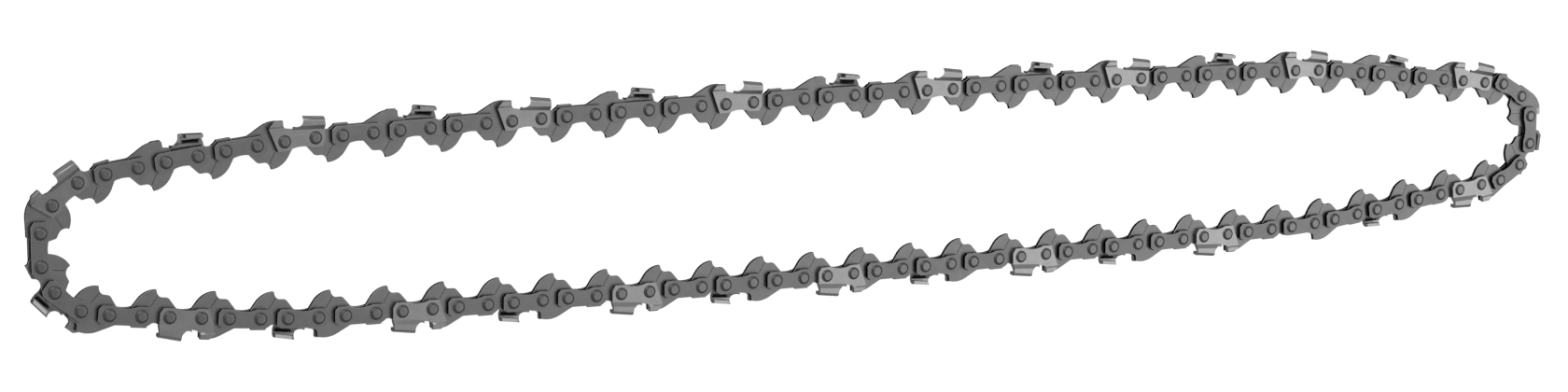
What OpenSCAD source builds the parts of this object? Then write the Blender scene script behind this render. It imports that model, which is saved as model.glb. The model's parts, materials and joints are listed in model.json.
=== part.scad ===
// Saw chain loop for a garden chainsaw, lying flat, with its long axis along X and the
// mid-plane of its drive links at Z = 0. Links are counted round the loop from the left end,
// over the top run: odd ones are cutters or pairs of tie straps, even ones are drive links.

/* [Chain] */
// Rivet spacing of a cutter or tie strap
strap_pitch = 9.937; // [9.4:0.001:12]
// Rivet spacing of a drive link
drive_pitch = 8.703; // [8.2:0.001:10.5]
// Thickness of a drive link, which runs in the guide bar's groove
gauge = 1.3; // [1.05:0.05:1.6]
// Thickness of tie straps and cutters
strap_t = 1.3; // [1.05:0.05:1.6]
// Side play between a drive link and the plate beside it
side_play = 0.04; // [0.02:0.01:0.1]

/* [Loop] */
// Number of drive links, with as many cutters or tie strap pairs between them
pairs = 62; // [54:4:74]
// Teeth of the wheel that the left end would wrap
left_teeth = 7; // [6:1:8]
// Teeth of the wheel that the right end would wrap
right_teeth = 6; // [6:1:8]
// Distance from the long axis to where a straight run begins
run_y = 27.5; // [24:0.1:32]
// Links on each side of the run's middle link that belong to the run
run_half = 19; // [19:1:21]
// Lean of the links at the ends of a run, which bow outward
bow = 0.9; // [0:0.1:2]

/* [Tie strap] */
// Distance from a rivet to the strap's end
strap_end = 3.35; // [3:0.05:3.6]
// Height of the outer edge above the rivets
strap_up = 2.9; // [2.7:0.05:3.2]
// Depth of the inner edge below the rivets
strap_down = 2.85; // [2.6:0.05:3.2]
// Corner cut along the outer edge
cut_up = [1.4, 1.0]; // [0.8:0.1:1.6]
// Corner cut along the inner edge
cut_down = [1.05, 1.1]; // [0.8:0.05:1.4]
// Width of the arch in the inner edge
arch_w = 7.6; // [6.8:0.1:8]
// Rise of that arch
arch_rise = 0.78; // [0.5:0.02:0.9]

/* [Drive link] */
// Radius of the front end, round its rivet
front_r = 3.4; // [3:0.05:3.6]
// Radius of the rear end, round its rivet
rear_r = 3.75; // [3.4:0.05:4]
// Depth of the tang's tip below the rivets
tang_depth = 8; // [7:0.1:8.6]
// Depth of the tang's flat, ahead of the notch
flat_depth = 5.6; // [5:0.1:5.8]
// Radius of the tang's rounded back
tang_r = 7.1; // [6.9:0.05:7.3]
// Place of the tang's tip, from the link's middle
tip_x = 0; // [-0.3:0.05:0.2]
// Angle of the tang's front edge
tang_lean = 48.8; // [45:0.1:55]
// Height of the heel at the rear of a plain link
heel_up = 3.65; // [3.2:0.05:3.75]
// Height of the dip between the rivets of a plain link
dip_up = 2.05; // [1.8:0.05:2.4]
// Radius of that dip
dip_r = 2.45; // [2:0.05:2.8]
// Height of the guard hump ahead of a cutter
guard_up = 6.45; // [5.5:0.05:6.6]
// Radius of the guard hump's top
guard_r = 8.5; // [7:0.1:9.5]
// Angle of the guard's ramp
ramp = 27.9; // [24:0.1:32]
// Width of the line scored in each face, above the notch
score_w = 0.18; // [0.1:0.01:0.25]
// Depth of that line
score_depth = 0.1; // [0.05:0.01:0.15]

/* [Cutter] */
// Height of the top plate's leading corner above the rivets
top_up = 7.25; // [6.8:0.05:7.6]
// Fall of the top plate towards its rear
top_fall = 7.7; // [5:0.1:10]
// Slant of the top plate, whose inner side is lower
top_slant = 10; // [0:1:14]
// Thickness of the top plate
top_t = 1.05; // [1:0.05:1.2]
// How far the side plate steps outward
flare = 0.95; // [0.6:0.05:1.2]
// Height in which it steps outward
flare_rise = 1.3; // [1:0.05:1.4]
// Outer radius of the bend between side and top plate
curl_r = 1.4; // [1.3:0.05:1.6]
// Place of the top plate's inner edge, from the mid-plane
top_inner = 0.1; // [-0.3:0.05:0.6]
// Place of the top plate's leading corner, from the cutter's middle
corner_x = 0.4; // [0:0.1:1]
// Radius of the filed gullet
file_r = 2.05; // [1.9:0.05:2.2]
// How far below the corner the middle of that gullet is
file_drop = 1.38; // [1.2:0.02:1.5]
// Sweep of the leading edge
sweep = 30; // [15:1:35]
// Height of the depth gauge
gauge_up = 6.45; // [5.9:0.05:6.6]
// Where the depth gauge's top begins, from the cutter's middle
gauge_from = -7.7; // [-8.2:0.1:-7.2]
// Where it ends, at the gullet
gauge_to = -5.05; // [-5.3:0.05:-4.8]
// How far the depth gauge bulges outward
bulge = 0.25; // [0.15:0.05:0.3]
// How far the cutter's pointed front reaches ahead of its rivet
nose = 4.65; // [4.4:0.05:4.8]
// Height of that point above the rivets
nose_up = 4.15; // [4:0.05:4.3]
// Height of the gullet's floor behind the depth gauge
floor_up = 3.78; // [3.7:0.02:3.86]
// Radius between that floor and the depth gauge
floor_r = 1.4; // [1.1:0.1:1.5]
// Height of the bend above which the side plate steps outward
kink_up = 3; // [2.9:0.05:3.1]
// Fall of that bend towards the rear
kink_fall = 4.4; // [3.5:0.1:5]

/* [Rivet] */
// Diameter of the middle of the rivet, on which a drive link turns
hub_d = 3.9; // [3.5:0.05:4.2]
// Diameter of the rivet's ends, inside the straps
shank_d = 2.9; // [2.6:0.05:3.2]
// Widest diameter of the formed head
head_d = 4.05; // [3.8:0.05:4.3]
// Diameter of the head's flat top
head_flat_d = 2.85; // [2.6:0.05:3.2]
// Height of the head
head_h = 0.45; // [0.3:0.05:0.6]
// Radial clearance of a drive link on its rivet
turn_gap = 0.05; // [0.02:0.01:0.1]
// Radial clearance of a rivet's end in a strap
fit_gap = 0.01; // [0.01:0.01:0.03]

/* [Hidden] */
$fn = 64;
links = 2 * pairs;
run_mid = pairs / 2 - 2;
right_end = pairs - 1;
left_wrap = floor((left_teeth - 1) / 2);
right_wrap = floor((right_teeth - 1) / 2);
run_first = run_mid - run_half;
run_last = run_mid + run_half;
inner_z = gauge / 2 + side_play;
outer_z = inner_z + strap_t;
cutter_rear = strap_pitch / 2 + strap_end - 0.25;
nose_x = -strap_pitch / 2 - nose;
// The first pivot and the last of the top left corner
hinge_first = 11;
hinge_last = 15;
// The strap pair with which the loop was closed, where a cutter would come next
odd_pair = pairs + 11;
// Small overlap of pieces that become one
eps = 0.01;

function length(i) = i % 2 == 1 ? strap_pitch : drive_pitch;
function mirrored(i) = links - 2 - i;
function partner(i) = pairs - 4 - i;

// A taper's links lean by one angle times a shape. The angle is the one with which the taper
// climbs from its wheel to the run, and halving an interval finds it.
function left_shape(i) = cos(60 * (i - left_wrap) / (run_first - 1 - left_wrap));
function right_shape(i) = 1 - 0.6 * exp(run_last + 1 - i);
function total(v, i = 0) = i >= len(v) ? 0 : v[i] + total(v, i + 1);
function left_climb(a) =
    total([for (i = [left_wrap : run_first - 1]) length(i) * sin(a * left_shape(i))]);
function right_climb(a) =
    total([for (i = [run_last + 1 : right_end - right_wrap - 1]) length(i) * sin(a * right_shape(i))]);
function wrap_y(teeth, wrap, first, step) =
    strap_pitch / 2 + total([for (k = [1 : wrap]) length(first + step * k) * sin(90 - k * 180 / teeth)]);
left_y = wrap_y(left_teeth, left_wrap, -1, 1);
right_y = wrap_y(right_teeth, right_wrap, right_end, -1);
function left_lean(lo = 0, hi = 40, n = 40) = let (a = (lo + hi) / 2)
    n == 0 ? a : left_climb(a) < run_y - left_y ? left_lean(a, hi, n - 1) : left_lean(lo, a, n - 1);
function right_lean(lo = 0, hi = 40, n = 40) = let (a = (lo + hi) / 2)
    n == 0 ? a : right_climb(a) < run_y - right_y ? right_lean(a, hi, n - 1) : right_lean(lo, a, n - 1);
left_a = left_lean();
right_a = right_lean();

// Direction of each link of the upper half, from its lower to its higher rivet
function upper_heading(i) =
    i < left_wrap ? 90 - (i + 1) * 180 / left_teeth
    : i < run_first ? left_a * left_shape(i)
    : i <= run_last ? bow * sin(90 * (run_mid - i) / run_half)
    : i < right_end - right_wrap ? -right_a * right_shape(i)
    : -90 + (right_end - i) * 180 / right_teeth;
upper = [for (i = 0, p = [0, strap_pitch / 2]; i <= right_end;
    p = p + length(i) * [cos(upper_heading(i)), sin(upper_heading(i))], i = i + 1) p];
shift = -upper[right_end][0] / 2;

// Rivets and links of the whole loop, which is its own mirror image about the X axis
function rivet_at(i) = i <= right_end ? upper[i] + [shift, 0]
    : let (p = upper[links - 1 - i]) [p[0] + shift, -p[1]];
function link_at(i) = (rivet_at(i) + rivet_at((i + 1) % links)) / 2;
function heading(i) = i < right_end ? upper_heading(i)
    : i == right_end ? -90 : i == links - 1 ? 90 : 180 - upper_heading(mirrored(i));

// What each link is
function is_strap(i) = i % 2 == 1;
function is_cutter(i) = i % 4 == 1 && i != odd_pair;
function is_guard(i) = i % 4 == 0;
function is_near(i) = ((i - 1) / 4 + (i > odd_pair ? 1 : 0)) % 2 == 0;

// The rigid groups: two ends, two runs, and four links at each of the corners between them
function from_to(a, b) = [for (i = [a : b]) i];
LEFT_END = concat(from_to(links - 1 - hinge_first, links - 1), from_to(0, hinge_first - 1));
TOP_RUN = from_to(hinge_last, partner(hinge_last));
RIGHT_END = from_to(partner(hinge_first - 1), mirrored(partner(hinge_first - 1)));
BOTTOM_RUN = from_to(mirrored(partner(hinge_last)), mirrored(hinge_last));
TOP_LEFT = from_to(hinge_first, hinge_last - 1);
TOP_RIGHT = [for (i = TOP_LEFT) partner(i)];
BOTTOM_LEFT = [for (i = TOP_LEFT) mirrored(i)];
BOTTOM_RIGHT = [for (i = TOP_RIGHT) mirrored(i)];
LONG = [["left_end", LEFT_END], ["top_run", TOP_RUN], ["right_end", RIGHT_END], ["bottom_run", BOTTOM_RUN]];
CORNERS = [["top_left", TOP_LEFT], ["top_right", TOP_RIGHT],
    ["bottom_left", BOTTOM_LEFT], ["bottom_right", BOTTOM_RIGHT]];
LONG_KINDS = ["cutters", "tie_straps", "guard_links", "drive_links", "rivets"];
CORNER_KINDS = ["strap_pair", "strap_rivets", "cutter", "cutter_strap", "cutter_rivets",
    "guard_link", "drive_link"];

module at_link(i) {
    translate([link_at(i)[0], link_at(i)[1], 0])
        rotate([0, 0, heading(i)])
            children();
}

// Outline shared by a tie strap and by the lower half of a cutter
module strap_ends() {
    x = strap_pitch / 2 + strap_end;
    polygon([[-x, strap_up - cut_up[1]], [-x, -strap_down + cut_down[1]], [-x + cut_down[0], -strap_down],
        [x - cut_down[0], -strap_down], [x, -strap_down + cut_down[1]], [x, strap_up - cut_up[1]],
        [x - cut_up[0], strap_up], [-x + cut_up[0], strap_up]]);
}

module strap_arch() {
    r = (pow(arch_w / 2, 2) + pow(arch_rise, 2)) / (2 * arch_rise);
    translate([0, -strap_down + arch_rise - r])
        circle(r);
}

module strap_holes() {
    for (x = [-1, 1] * strap_pitch / 2)
        translate([x, 0])
            circle(shank_d / 2 + fit_gap);
}

module tie_strap() {
    color("#585a5c")
        translate([0, 0, inner_z])
            linear_extrude(strap_t)
                difference() {
                    strap_ends();
                    strap_arch();
                    strap_holes();
                }
}

// Tang with its slanted front, flat, scooped notch and sharp tip that points forward. Its
// round back runs into the link's rear end along the line that touches both.
module tang() {
    front = [-drive_pitch / 2, 0] - front_r * [sin(tang_lean), cos(tang_lean)];
    flat_x = front[0] + (flat_depth + front[1]) / tan(tang_lean);
    notch_r = tang_depth - flat_depth;
    notch = [tip_x - notch_r, -tang_depth];
    back = [-0.3, tang_r - tang_depth];
    rear = [drive_pitch / 2, 0];
    lean = atan2(rear[1] - back[1], rear[0] - back[0]) - acos((tang_r - rear_r) / norm(rear - back));
    side = [cos(lean), sin(lean)];
    polygon([back, back + (tang_r - eps) * side, rear + (rear_r - eps) * side, rear]);
    intersection() {
        union() {
            translate(back)
                circle(tang_r);
            translate([front[0] - 1, 1 - tang_depth])
                square([notch[0] - front[0] + 1.4, tang_depth - 1]);
        }
        difference() {
            polygon([front, [flat_x - 0.12, -flat_depth + 0.14], [flat_x + 0.16, -flat_depth],
                [notch[0], -flat_depth], notch, [tang_r, -tang_depth], [tang_r, 0], [front[0], 0]]);
            translate(notch)
                circle(notch_r);
        }
    }
}

module link_holes() {
    for (x = [-1, 1] * drive_pitch / 2)
        translate([x, 0])
            circle(hub_d / 2 + turn_gap);
}

// Ends round the rivets, with the outer side of the front kept under the straps
module link_body() {
    x = drive_pitch / 2;
    intersection() {
        translate([-x, 0])
            circle(front_r);
        translate([-2 * x, -front_r])
            square([2 * x, front_r + strap_up]);
    }
    translate([x, 0])
        circle(rear_r);
    translate([-x, -strap_up])
        square([2 * x, 2 * strap_up]);
    tang();
}

module drive_plate() {
    translate([0, 0, -gauge / 2])
        linear_extrude(gauge)
            children();
}

// Shallow straight line scored in both faces, from under the strap's end towards the notch
module scores() {
    top = [1.5, -2.75];
    bottom = [-0.5, -6.1];
    run = top - bottom;
    for (z = [-1, 1] * gauge / 2)
        translate([bottom[0], bottom[1], z])
            rotate([0, 0, atan2(run[1], run[0])])
                translate([0, -score_w / 2, -score_depth])
                    cube([norm(run), score_w, 2 * score_depth]);
}

// Drive link with a dip between its rivets and a raised heel at its rear
module drive_link() {
    dip_x = -0.1;
    heel_x = drive_pitch / 2 + sqrt(pow(rear_r, 2) - pow(strap_up, 2));
    color("#606265")
        difference() {
            drive_plate()
                difference() {
                    union() {
                        link_body();
                        square([heel_x, heel_up]);
                    }
                    translate([0, heel_up])
                        square([2 * drive_pitch, 1]);
                    translate([dip_x, dip_up + dip_r])
                        circle(dip_r);
                    link_holes();
                }
            scores();
        }
}

// Ramp and hump that keep the depth gauge behind them from snagging
module hump() {
    top_x = 1.85;
    top = [top_x, guard_up - guard_r];
    ramp_end = top + guard_r * [-sin(ramp), cos(ramp)];
    foot_x = -drive_pitch / 2 - 2.65;
    foot = [foot_x, ramp_end[1] - (ramp_end[0] - foot_x) * tan(ramp)];
    back_x = drive_pitch / 2 - 0.1;
    fillet_r = 0.95;
    polygon([[-drive_pitch / 2 - front_r, 0], foot, ramp_end, [ramp_end[0] + 1, 0]]);
    intersection() {
        translate(top)
            circle(guard_r);
        polygon([[ramp_end[0], 0], [ramp_end[0], guard_up], [back_x - 0.25, guard_up],
            [back_x, guard_up - 0.25], [back_x + 0.15, strap_up], [back_x, 0]]);
    }
    difference() {
        translate([back_x, strap_up])
            square([1, 1.6]);
        translate([back_x + 0.15 + fillet_r, strap_up + 0.7 + fillet_r])
            circle(fillet_r);
    }
}

// Drive link that has the hump, which stands ahead of a cutter
module guard_link() {
    color("#606265")
        difference() {
            union() {
                drive_plate()
                    link_body();
                drive_plate()
                    hump();
            }
            drive_plate()
                link_holes();
            scores();
        }
}

// Side plate of a cutter, up to where it bends, with its pointed front and gullet floor
module cutter_side() {
    toe_x = -strap_pitch / 2 - 2.2;
    lip_x = -1.6;
    difference() {
        polygon([[nose_x, nose_up], [toe_x, -strap_down], [cutter_rear - cut_down[0], -strap_down],
            [cutter_rear, -1.2], [cutter_rear, kink_up - 0.3], [lip_x, kink_up + 0.4],
            [gauge_to + floor_r, floor_up], [gauge_to + floor_r, 4.8], [nose_x + 0.05, 4.8]]);
        translate([gauge_to + floor_r, floor_up + floor_r])
            circle(floor_r);
        strap_arch();
        strap_holes();
    }
}

// Section of the bent-in depth gauge, drawn with Z across and Y up
module gauge_section() {
    r = 0.5;
    z = outer_z + bulge;
    difference() {
        polygon([[inner_z, 4], [outer_z, 4], [outer_z, 4.35],
            [z, 4.85], [z, gauge_up], [inner_z, gauge_up]]);
        difference() {
            translate([z - r, gauge_up - r])
                square(r + eps);
            translate([z - r, gauge_up - r])
                circle(r);
        }
    }
}

// Section of the slanted top plate, its bend and the upper part of the side, with its top at Y = 0
module top_section() {
    z = outer_z + flare;
    inner_r = curl_r - top_t;
    length = (z - curl_r - top_inner) / cos(top_slant);
    translate([z - top_t, kink_up - 0.8 - top_up])
        square([top_t, top_up - curl_r - kink_up + 0.8]);
    translate([z - curl_r, -curl_r]) {
        rotate(top_slant)
            translate([-length, inner_r])
                square([length, top_t]);
        intersection() {
            difference() {
                circle(curl_r);
                circle(inner_r);
            }
            polygon([[0, 0], [2 * curl_r, 0], [2 * curl_r, 2 * curl_r],
                [-2 * curl_r * tan(top_slant), 2 * curl_r]]);
        }
    }
}

// Turns a section drawn as [Z, Y] into one that runs along X with Z and Y in place
module section_along_x(from, to) {
    translate([to, 0, 0])
        rotate([0, -90, 0])
            linear_extrude(to - from)
                children();
}

// Near cutter: side plate, depth gauge, and top plate on a side that steps outward
module cutter() {
    reach = 12;
    slope = flare_rise / flare;
    web = strap_t * sqrt(1 + pow(slope, 2));
    file_back = sqrt(pow(file_r, 2) - pow(file_drop, 2)) / cos(sweep);
    color("#a2a4a6")
        difference() {
            union() {
                translate([0, 0, inner_z])
                    linear_extrude(strap_t)
                        cutter_side();
                intersection() {
                    section_along_x(-strap_pitch, gauge_to)
                        gauge_section();
                    linear_extrude(2 * outer_z)
                        polygon([[nose_x, 4], [nose_x + 0.05, 4.8],
                            [gauge_from - 1.15, 5.45], [gauge_from, gauge_up + eps],
                            [gauge_to - 0.1, gauge_up + eps], [gauge_to, gauge_up - 0.1], [gauge_to, 4]]);
                }
                difference() {
                    union() {
                        translate([corner_x, top_up, 0])
                            rotate([0, 0, -top_fall])
                                section_along_x(-file_r, reach)
                                    top_section();
                        translate([corner_x, kink_up, 0])
                            rotate([0, 0, -kink_fall])
                                section_along_x(-file_r, reach)
                                    polygon([[inner_z, -0.6], [outer_z + flare - 0.1, -0.6],
                                        [outer_z + flare - 0.1, flare_rise + 0.1],
                                        [outer_z + flare - top_t, web + (flare - top_t) * slope],
                                        [inner_z, web - strap_t * slope]]);
                    }
                    translate([corner_x, kink_up, 0])
                        rotate([0, 0, -kink_fall])
                            section_along_x(-2 * file_r, reach + 1)
                                polygon([[outer_z, 0], [outer_z, -reach], [reach, -reach],
                                    [reach, (reach - outer_z) * slope]]);
                }
            }
            translate([cutter_rear, -reach / 2, -reach / 2])
                cube([reach, 2 * reach, reach]);
            translate([corner_x - file_back, top_up - file_drop, outer_z + flare])
                rotate([0, -sweep, 0]) {
                    cylinder(r = file_r, h = 30, center = true);
                    translate([-file_r - 0.3, 0, -15])
                        cube([file_r + 0.3, 5, 30]);
                }
        }
}

// Rivet with its hub in the drive link, its ends in the straps and two formed heads
module rivet() {
    rim = 0.12;
    color("#6c6e70")
        rotate_extrude()
            polygon([[0, -outer_z - head_h], [head_flat_d / 2, -outer_z - head_h],
                [head_d / 2, -outer_z - rim], [head_d / 2, -outer_z],
                [shank_d / 2, -outer_z], [shank_d / 2, -inner_z],
                [hub_d / 2, -inner_z], [hub_d / 2, inner_z],
                [shank_d / 2, inner_z], [shank_d / 2, outer_z],
                [head_d / 2, outer_z], [head_d / 2, outer_z + rim],
                [head_flat_d / 2, outer_z + head_h], [0, outer_z + head_h]]);
}

module far_side() {
    mirror([0, 0, 1])
        children();
}

// Puts a cutter, or the tie strap across from it, on the side where link i has it
module cutter_at(i) {
    at_link(i)
        if (is_near(i))
            cutter();
        else
            far_side() cutter();
}

module cutter_strap_at(i) {
    at_link(i)
        if (is_near(i))
            far_side() tie_strap();
        else
            tie_strap();
}

module strap_pair_at(i) {
    at_link(i) {
        tie_strap();
        far_side() tie_strap();
    }
}

module rivets_at(i) {
    at_link(i)
        for (x = [-1, 1] * strap_pitch / 2)
            translate([x, 0, 0])
                rivet();
}

// The pieces of one kind that a rigid group holds
module cutters(group) {
    for (i = group)
        if (is_cutter(i))
            cutter_at(i);
}

module tie_straps(group) {
    for (i = group)
        if (is_cutter(i))
            cutter_strap_at(i);
        else if (is_strap(i))
            strap_pair_at(i);
}

module cutter_straps(group) {
    for (i = group)
        if (is_cutter(i))
            cutter_strap_at(i);
}

module strap_pairs(group) {
    for (i = group)
        if (is_strap(i) && !is_cutter(i))
            strap_pair_at(i);
}

module guard_links(group) {
    for (i = group)
        if (is_guard(i))
            at_link(i) guard_link();
}

module drive_links(group) {
    for (i = group)
        if (!is_strap(i) && !is_guard(i))
            at_link(i) drive_link();
}

module rivets(group) {
    for (i = group)
        if (is_strap(i))
            rivets_at(i);
}

module cutter_rivets(group) {
    for (i = group)
        if (is_cutter(i))
            rivets_at(i);
}

module strap_rivets(group) {
    for (i = group)
        if (is_strap(i) && !is_cutter(i))
            rivets_at(i);
}

for (b = LONG) {
    cutters(b[1]);
    tie_straps(b[1]);
    guard_links(b[1]);
    drive_links(b[1]);
    rivets(b[1]);
}
for (c = CORNERS) {
    strap_pairs(c[1]);
    strap_rivets(c[1]);
    cutters(c[1]);
    cutter_straps(c[1]);
    cutter_rivets(c[1]);
    guard_links(c[1]);
    drive_links(c[1]);
}
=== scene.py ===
# Saw chain loop, lying flat on a pale floor. The CAD nodes give every link its place and
# outline, and the pieces made here finish them as the real ones are: stamped, ground,
# plated and riveted.
import json
import bmesh
import bpy
import numpy as np
from mathutils import Matrix, Vector

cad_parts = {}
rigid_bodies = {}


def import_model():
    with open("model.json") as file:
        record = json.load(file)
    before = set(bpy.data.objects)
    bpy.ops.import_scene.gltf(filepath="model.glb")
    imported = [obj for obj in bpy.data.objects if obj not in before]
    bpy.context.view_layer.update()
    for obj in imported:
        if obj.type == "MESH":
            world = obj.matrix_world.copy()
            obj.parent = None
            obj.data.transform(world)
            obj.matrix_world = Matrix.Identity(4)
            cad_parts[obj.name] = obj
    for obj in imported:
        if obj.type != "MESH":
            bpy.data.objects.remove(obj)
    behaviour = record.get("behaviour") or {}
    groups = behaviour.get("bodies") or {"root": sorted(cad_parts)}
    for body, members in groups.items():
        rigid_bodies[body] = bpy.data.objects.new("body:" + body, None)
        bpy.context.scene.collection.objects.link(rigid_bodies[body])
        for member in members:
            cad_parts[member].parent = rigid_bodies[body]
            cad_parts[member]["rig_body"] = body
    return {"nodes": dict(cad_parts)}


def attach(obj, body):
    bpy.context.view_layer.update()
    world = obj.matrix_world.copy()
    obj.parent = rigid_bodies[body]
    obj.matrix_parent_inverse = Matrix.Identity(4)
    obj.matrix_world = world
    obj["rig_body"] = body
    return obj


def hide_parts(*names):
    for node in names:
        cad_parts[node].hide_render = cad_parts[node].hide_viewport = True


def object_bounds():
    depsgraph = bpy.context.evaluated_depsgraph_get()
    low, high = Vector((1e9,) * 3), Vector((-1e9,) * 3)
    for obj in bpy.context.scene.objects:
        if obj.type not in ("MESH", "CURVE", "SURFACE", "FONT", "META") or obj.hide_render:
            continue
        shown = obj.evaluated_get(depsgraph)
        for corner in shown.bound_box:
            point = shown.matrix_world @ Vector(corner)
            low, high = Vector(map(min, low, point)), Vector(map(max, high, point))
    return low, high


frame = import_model()
cad_box = [list(corner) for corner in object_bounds()]

# Camera. The photograph looks down on the chain from above its left end, through a long
# lens, with the chain's long axis climbing a little to the right.
eye = Vector((-0.59063, 0.17927, 1.02270))
gaze = Vector((0.47497, -0.15375, -0.86647))
upward = Vector((0.07186, 0.98811, -0.13595))
turned = Matrix((gaze.cross(upward), upward, -gaze)).transposed().to_4x4()
camera = bpy.data.objects.new("camera", bpy.data.cameras.new("camera"))
camera.data.lens = 83.93
camera.data.sensor_width = 36.0
camera.data.clip_start = 0.05
camera.data.clip_end = 20.0
camera.matrix_world = Matrix.Translation(eye) @ turned
bpy.context.scene.collection.objects.link(camera)
bpy.context.scene.camera = camera
bpy.context.scene.view_settings.view_transform = "Standard"


# Light. A tent of soft light, a little brighter above the right and weaker low down and on
# the near side. A grey card hangs overhead, which the left end of the chain reflects, and one
# broad soft box above the far left picks out the rivets' heads.
def add(tree, kind, links=None, **settings):
    """Adds a node to a tree. A setting is a property, or an input as in_NAME or in_NUMBER, and
    links joins input names or numbers to other nodes' outputs."""
    made = tree.nodes.new(kind)
    for name, value in settings.items():
        if name.startswith("in_"):
            key = name[3:].replace("_", " ")
            made.inputs[int(key) if key.isdigit() else key].default_value = value
        else:
            setattr(made, name, value)
    for key, source in (links or {}).items():
        tree.links.new(made.inputs[key], source)
    return made


WHITE = (1.0, 1.0, 1.0, 1.0)
# Each row is a direction, the cosines to it between which the light changes, and the share
# of the light at the first and the second of them.
tent_parts = (
    ((0.0, 0.0, 1.0), 0.0, 0.50, 0.45, 1.0),
    ((0.0, 1.0, 0.0), -0.95, -0.30, 0.65, 1.0),
    ((0.80, -0.05, 0.60), 0.70, 0.98, 0.86, 1.15),
    ((0.08, -0.22, 0.97), 0.88, 0.99, 1.0, 0.16),
)
sky = bpy.data.worlds.new("studio")
bpy.context.scene.world = sky
sky.use_nodes = True
tree = sky.node_tree
tree.nodes.clear()
place = add(tree, "ShaderNodeTexCoord")
shares = []
for towards, low, high, start, end in tent_parts:
    facing = add(tree, "ShaderNodeVectorMath", {0: place.outputs["Generated"]},
                 operation="DOT_PRODUCT", in_1=towards)
    share = add(tree, "ShaderNodeMapRange", {"Value": facing.outputs["Value"]},
                interpolation_type="SMOOTHSTEP", in_From_Min=low, in_From_Max=high,
                in_To_Min=start, in_To_Max=end)
    shares.append(share.outputs["Result"])
level = shares[0]
for share in shares[1:]:
    level = add(tree, "ShaderNodeMath", {0: level, 1: share}, operation="MULTIPLY").outputs[0]
tent = add(tree, "ShaderNodeBackground", {"Strength": level}, in_Color=WHITE)
add(tree, "ShaderNodeOutputWorld", {"Surface": tent.outputs[0]})

box_light = bpy.data.objects.new("soft_box", bpy.data.lights.new("soft_box", "AREA"))
box_light.data.shape = "RECTANGLE"
box_light.data.size = 1.0
box_light.data.size_y = 0.6
box_light.data.energy = 4.0
box_from = 1.7 * Vector((-0.24, 0.51, 0.83))
box_turn = (-box_from).to_track_quat("-Z", "Y").to_matrix().to_4x4()
box_light.matrix_world = Matrix.Translation(box_from) @ box_turn
bpy.context.scene.collection.objects.link(box_light)


# Floor. A plain white paper sweep. It shows the chain's own soft shadow, and the rest of its
# brightness is added for the camera and for what steel reflects, so that it lights nothing.
def linear(code):
    """A colour written as sRGB hex, as the linear red, green, blue and alpha that shaders
    take: a level is divided by 12.92 where it is dark, and elsewhere raised to 2.4 after
    0.055 is added and the sum divided by 1.055."""
    levels = np.array([int(code[k:k + 2], 16) for k in (1, 3, 5)]) / 255
    curve = np.where(levels <= 0.04045, levels / 12.92, ((levels + 0.055) / 1.055) ** 2.4)
    return (*curve.tolist(), 1.0)


reach = 3.0
floor_gap = 0.0001
floor_z = cad_box[0][2] - floor_gap
floor_corners = [(-reach, -reach, floor_z), (reach, -reach, floor_z),
                 (reach, reach, floor_z), (-reach, reach, floor_z)]
floor_mesh = bpy.data.meshes.new("floor")
floor_mesh.from_pydata(floor_corners, [], [(0, 1, 2, 3)])
floor = bpy.data.objects.new("floor", floor_mesh)
bpy.context.scene.collection.objects.link(floor)
# Uncoated paper: matt and even, with no shine of its own.
paper = bpy.data.materials.new("white_paper")
paper.use_nodes = True
tree = paper.node_tree
tree.nodes.clear()
matt = add(tree, "ShaderNodeBsdfDiffuse", in_Color=linear("#b0b0b0"), in_Roughness=0.5)
seen = add(tree, "ShaderNodeLightPath")
either = add(tree, "ShaderNodeMath",
             {0: seen.outputs["Is Camera Ray"], 1: seen.outputs["Is Glossy Ray"]},
             operation="MAXIMUM")
any_ray = add(tree, "ShaderNodeMath", {0: either.outputs[0], 1: seen.outputs["Is Transmission Ray"]},
              operation="MAXIMUM")
lift = add(tree, "ShaderNodeMath", {0: any_ray.outputs[0]}, operation="MULTIPLY", in_1=0.86)
glow = add(tree, "ShaderNodeEmission", {"Strength": lift.outputs[0]}, in_Color=WHITE)
shown = add(tree, "ShaderNodeAddShader", {0: matt.outputs[0], 1: glow.outputs[0]})
add(tree, "ShaderNodeOutputMaterial", {"Surface": shown.outputs[0]})
floor_mesh.materials.append(paper)


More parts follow.
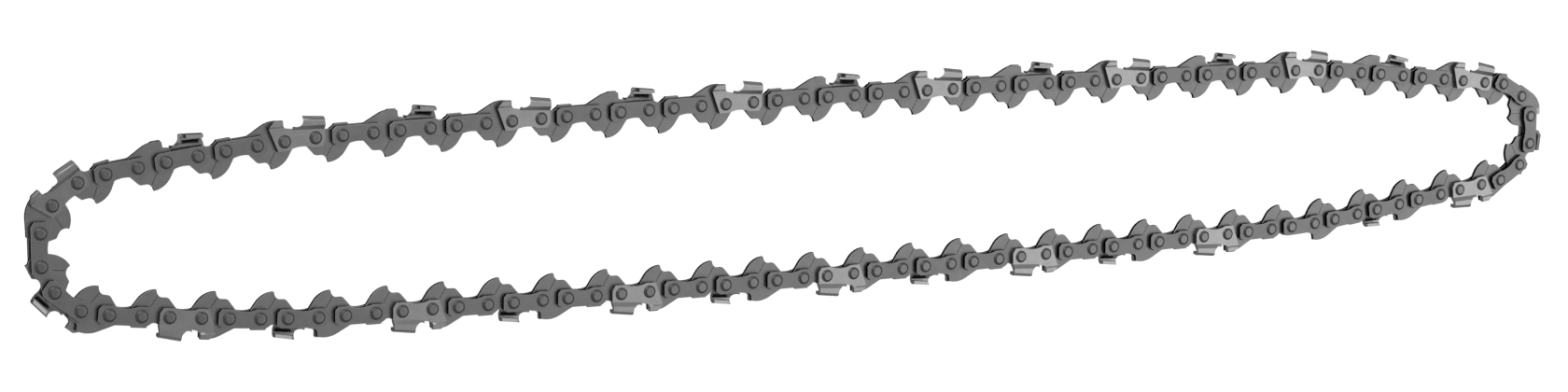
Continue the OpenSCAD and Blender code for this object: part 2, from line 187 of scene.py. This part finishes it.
# Tie straps. Each is punched from strip, tumbled, so that every edge is slightly round, and
# hardened;
# its punched sides get nearly black painted shade. Two rivets hold it against the drive links.
def finish_edges(node, radius, name, face_z=None, crown=None):
    """A copy of a CAD node with its doubles merged, its flat faces made one face each, and each
    edge sharper than 28 degrees rounded by a strip of two faces as wide as the radius. The
    edges at its greatest height are first rounded by the crown's radius, where one is given.
    Four attributes mark where the steel paints its shade and highlights: rim on that strip, wall on
    what stands across the plate, scored on what lies deeper than face_z, and slope on what leans."""
    sharp_turn = 0.49
    crown_turn = 0.2
    height_slack = 0.00001
    groove_floor, groove_top = 0.0002, 0.00005
    upright, level_face = 0.35, 0.97
    source = frame["nodes"][node]
    bm = bmesh.new()
    bm.from_mesh(source.data)
    bmesh.ops.remove_doubles(bm, verts=bm.verts, dist=2e-6)
    bmesh.ops.dissolve_limit(bm, angle_limit=0.01, verts=bm.verts, edges=bm.edges)
    groove = set()
    if face_z is not None:
        for face in bm.faces:
            heights = [abs(v.co.z) for v in face.verts]
            if face_z - groove_floor < min(heights) < face_z - groove_top:
                groove.update(face.edges)
    if crown is not None:
        height = max(abs(v.co.z) for v in bm.verts) - height_slack
        top = [e for e in bm.edges if min(abs(v.co.z) for v in e.verts) > height
               and e.calc_face_angle(0.0) > crown_turn]
        bmesh.ops.bevel(bm, geom=top, offset=crown, segments=3, profile=0.5, affect="EDGES",
                        clamp_overlap=True, offset_type="OFFSET")
    sharp = [e for e in bm.edges if e not in groove and len(e.link_faces) == 2
             and e.calc_face_angle(0.0) > sharp_turn]
    made = bmesh.ops.bevel(bm, geom=sharp, offset=radius, segments=2, profile=0.5,
                           affect="EDGES", clamp_overlap=True, offset_type="OFFSET")
    bm.faces.index_update()
    rim_faces = [f.index for f in made["faces"]]
    bm.normal_update()
    rise = np.abs(np.array([f.normal.z for f in bm.faces]))
    depths = np.array([min(abs(v.co.z) for v in f.verts) for f in bm.faces])
    mesh = bpy.data.meshes.new(name)
    bm.to_mesh(mesh)
    bm.free()
    rim = np.zeros(len(mesh.polygons), bool)
    rim[rim_faces] = True
    wall = rise < upright
    slope = (rise > upright) & (rise < level_face) & ~rim
    scored = np.zeros(len(mesh.polygons), bool)
    if face_z is not None:
        scored = (depths > face_z - groove_floor) & (depths < face_z - groove_top) & ~rim
    for label, marked in (("rim", rim), ("wall", wall), ("scored", scored), ("slope", slope)):
        values = marked.astype(np.float32)
        mesh.attributes.new(label, "FLOAT", "FACE").data.foreach_set("value", values)
    mesh.polygons.foreach_set("use_smooth", rim | slope)
    piece = bpy.data.objects.new(name, mesh)
    bpy.context.scene.collection.objects.link(piece)
    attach(piece, source["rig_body"])
    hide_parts(node)
    return piece


def steel(name, colour, wall, slope, line, painted_rim_and_wear, rough, grain_mm):
    """Steel with a fine grain of the given size and stains of 3 mm. The stain multiplies the
    colour by 0.94 to 1.06, and the grain moves the roughness by 0.06 either way. The punched
    walls, the slopes and the scored lines then take their own colours, which are painted shade
    where they are darker than the steel, and the rims take four fifths of theirs, a painted
    highlight where it is paler and painted shade where it is darker."""
    stain_mm = 3
    made = bpy.data.materials.new(name)
    made.use_nodes = True
    tree = made.node_tree
    tree.nodes.clear()
    place = add(tree, "ShaderNodeTexCoord")
    grain = add(tree, "ShaderNodeTexNoise", {"Vector": place.outputs["Object"]},
                in_Scale=1000 / grain_mm, in_Detail=3.0, in_Roughness=0.6)
    stain = add(tree, "ShaderNodeTexNoise", {"Vector": place.outputs["Object"]},
                in_Scale=1000 / stain_mm, in_Detail=3.0)
    shade = add(tree, "ShaderNodeMapRange", {"Value": stain.outputs["Fac"]},
                in_From_Min=0.3, in_From_Max=0.7, in_To_Min=0.94, in_To_Max=1.06)
    tone = add(tree, "ShaderNodeMix", {"Factor": shade.outputs["Result"]}, data_type="RGBA",
               clamp_factor=False, in_6=(0.0, 0.0, 0.0, 1.0), in_7=linear(colour)).outputs[2]
    # Painted shade on walls, slopes and scored lines, and painted highlight or shade on the rims,
    # mixed over the steel's tone.
    for label, other, share in (("slope", slope, 1.0), ("scored", line, 1.0),
                                ("rim", painted_rim_and_wear, 0.8), ("wall", wall, 1.0)):
        marked = add(tree, "ShaderNodeAttribute", attribute_name=label)
        amount = add(tree, "ShaderNodeMath", {0: marked.outputs["Fac"]},
                     operation="MULTIPLY", in_1=share)
        tone = add(tree, "ShaderNodeMix", {"Factor": amount.outputs[0], 6: tone},
                   data_type="RGBA", in_7=linear(other)).outputs[2]
    polish = add(tree, "ShaderNodeMapRange", {"Value": grain.outputs["Fac"]},
                 in_To_Min=rough - 0.06, in_To_Max=rough + 0.06)
    bump = add(tree, "ShaderNodeBump", {"Height": grain.outputs["Fac"]}, in_Strength=0.2,
               in_Distance=0.00002)
    surface = add(tree, "ShaderNodeBsdfPrincipled",
                  {"Base Color": tone, "Roughness": polish.outputs["Result"],
                   "Normal": bump.outputs["Normal"]},
                  in_Metallic=1.0, in_Specular_Tint=linear("#a8a8a8"))
    add(tree, "ShaderNodeOutputMaterial", {"Surface": surface.outputs[0]})
    return made


# Spring steel strip, tumbled and hardened: a mid grey satin, with nearly black painted shade on its
# punched sides, and rims painted bright, partly wear and partly painted highlight.
dark_steel = steel("hardened_strip_steel", colour="#848484", wall="#0c0c0c", slope="#848484",
                   line="#4c4c4c", painted_rim_and_wear="#b4b4b4", rough=0.36, grain_mm=0.3)
plate_rim = 0.0001
for name in sorted(frame["nodes"]):
    if name.endswith(("tie_straps", "strap_pair", "cutter_strap")):
        straps = finish_edges(name, plate_rim, name + "_finished")
        straps.data.materials.append(dark_steel)

# Drive links, plain and with a guard hump. Each is punched from the same strip, with the tang
# that runs in the guide bar's groove and a scored line across its flat.
link_face = 0.00065
# The same spring steel, a little paler, with the same painted shade on its punched sides and painted
# highlight on its rims, and painted shade in the scored line, darker than the flat.
link_steel = steel("hardened_link_steel", colour="#8a8a8a", wall="#0c0c0c", slope="#8a8a8a",
                   line="#4c4c4c", painted_rim_and_wear="#b4b4b4", rough=0.36, grain_mm=0.3)
for name in sorted(frame["nodes"]):
    if name.endswith(("_links", "_link")):
        links = finish_edges(name, plate_rim, name + "_finished",
                             face_z=link_face)
        links.data.materials.append(link_steel)

# Cutters. Each is punched, bent over into its top plate and ground to its edge, then plated.
# It takes the place of one tie strap.
# Hard chrome: paler and smoother than the steel. Its walls and leaning faces, such as the flare
# under the top plate, are darker as painted shade, and its rims a little paler as painted highlight.
chrome = steel("hard_chrome", colour="#acacac", wall="#5c5c5c", slope="#7c7c7c",
               line="#acacac", painted_rim_and_wear="#b6b6b6", rough=0.25, grain_mm=0.25)
for name in sorted(frame["nodes"]):
    if name.endswith(("_cutters", "_cutter")):
        cutters = finish_edges(name, plate_rim, name + "_finished")
        cutters.data.materials.append(chrome)

# Rivets. Turned from bar with a hub in the middle, on which the drive link turns, and their
# ends spun over into low heads against the outer plates.
# Spun steel: smooth and bright on the flat of the head, with painted shade round its slope, on its
# rims and on the sides of its heads.
rivet_steel = steel("spun_rivet_steel", colour="#868686", wall="#141414", slope="#4e4e4e",
                    line="#4e4e4e", painted_rim_and_wear="#4e4e4e", rough=0.28, grain_mm=0.3)
head_rim = 0.00005
head_crown = 0.0003
for name in sorted(frame["nodes"]):
    if name.endswith("rivets"):
        heads = finish_edges(name, head_rim, name + "_finished",
                             crown=head_crown)
        heads.data.materials.append(rivet_steel)
